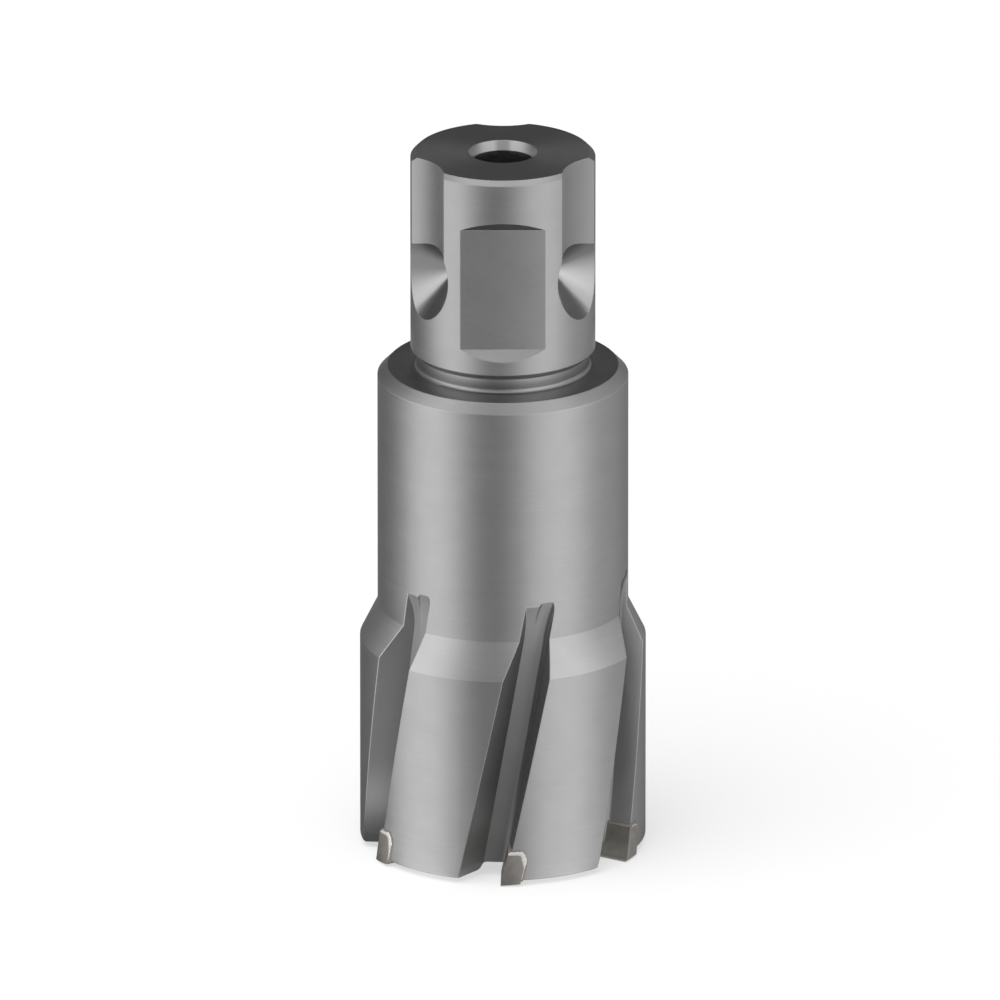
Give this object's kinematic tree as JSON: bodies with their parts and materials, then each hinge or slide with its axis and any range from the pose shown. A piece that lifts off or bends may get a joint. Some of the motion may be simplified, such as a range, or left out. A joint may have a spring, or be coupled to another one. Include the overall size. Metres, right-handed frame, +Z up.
{
  "type": "annular cutter",
  "caption": "Annular cutter with brazed carbide teeth, helical flutes, a hollow core and a shank with flats, grooves and recesses.",
  "frame": {"origin": "on the cutter's axis, level with the lowest points of the teeth", "axes": "+Z up the axis, from the teeth to the shank's end; -Y is the front, which the first shank flat faces"},
  "size_m": [0.0294, 0.03, 0.0751],
  "materials": {
    "tool_steel": "fine ground and turned, satin grey",
    "carbide": "ground carbide, dull brown grey",
    "braze": "pale silver braze, satin"
  },
  "bodies": {
    "root": {"cutter_body": "tool_steel", "carbide_tip_1": "carbide", "carbide_tip_2": "carbide", "carbide_tip_3": "carbide", "carbide_tip_4": "carbide", "carbide_tip_5": "carbide", "carbide_tip_6": "carbide", "braze_foil_1": "braze", "braze_foil_2": "braze", "braze_foil_3": "braze", "braze_foil_4": "braze", "braze_foil_5": "braze", "braze_foil_6": "braze"}
  },
  "joints": []
}
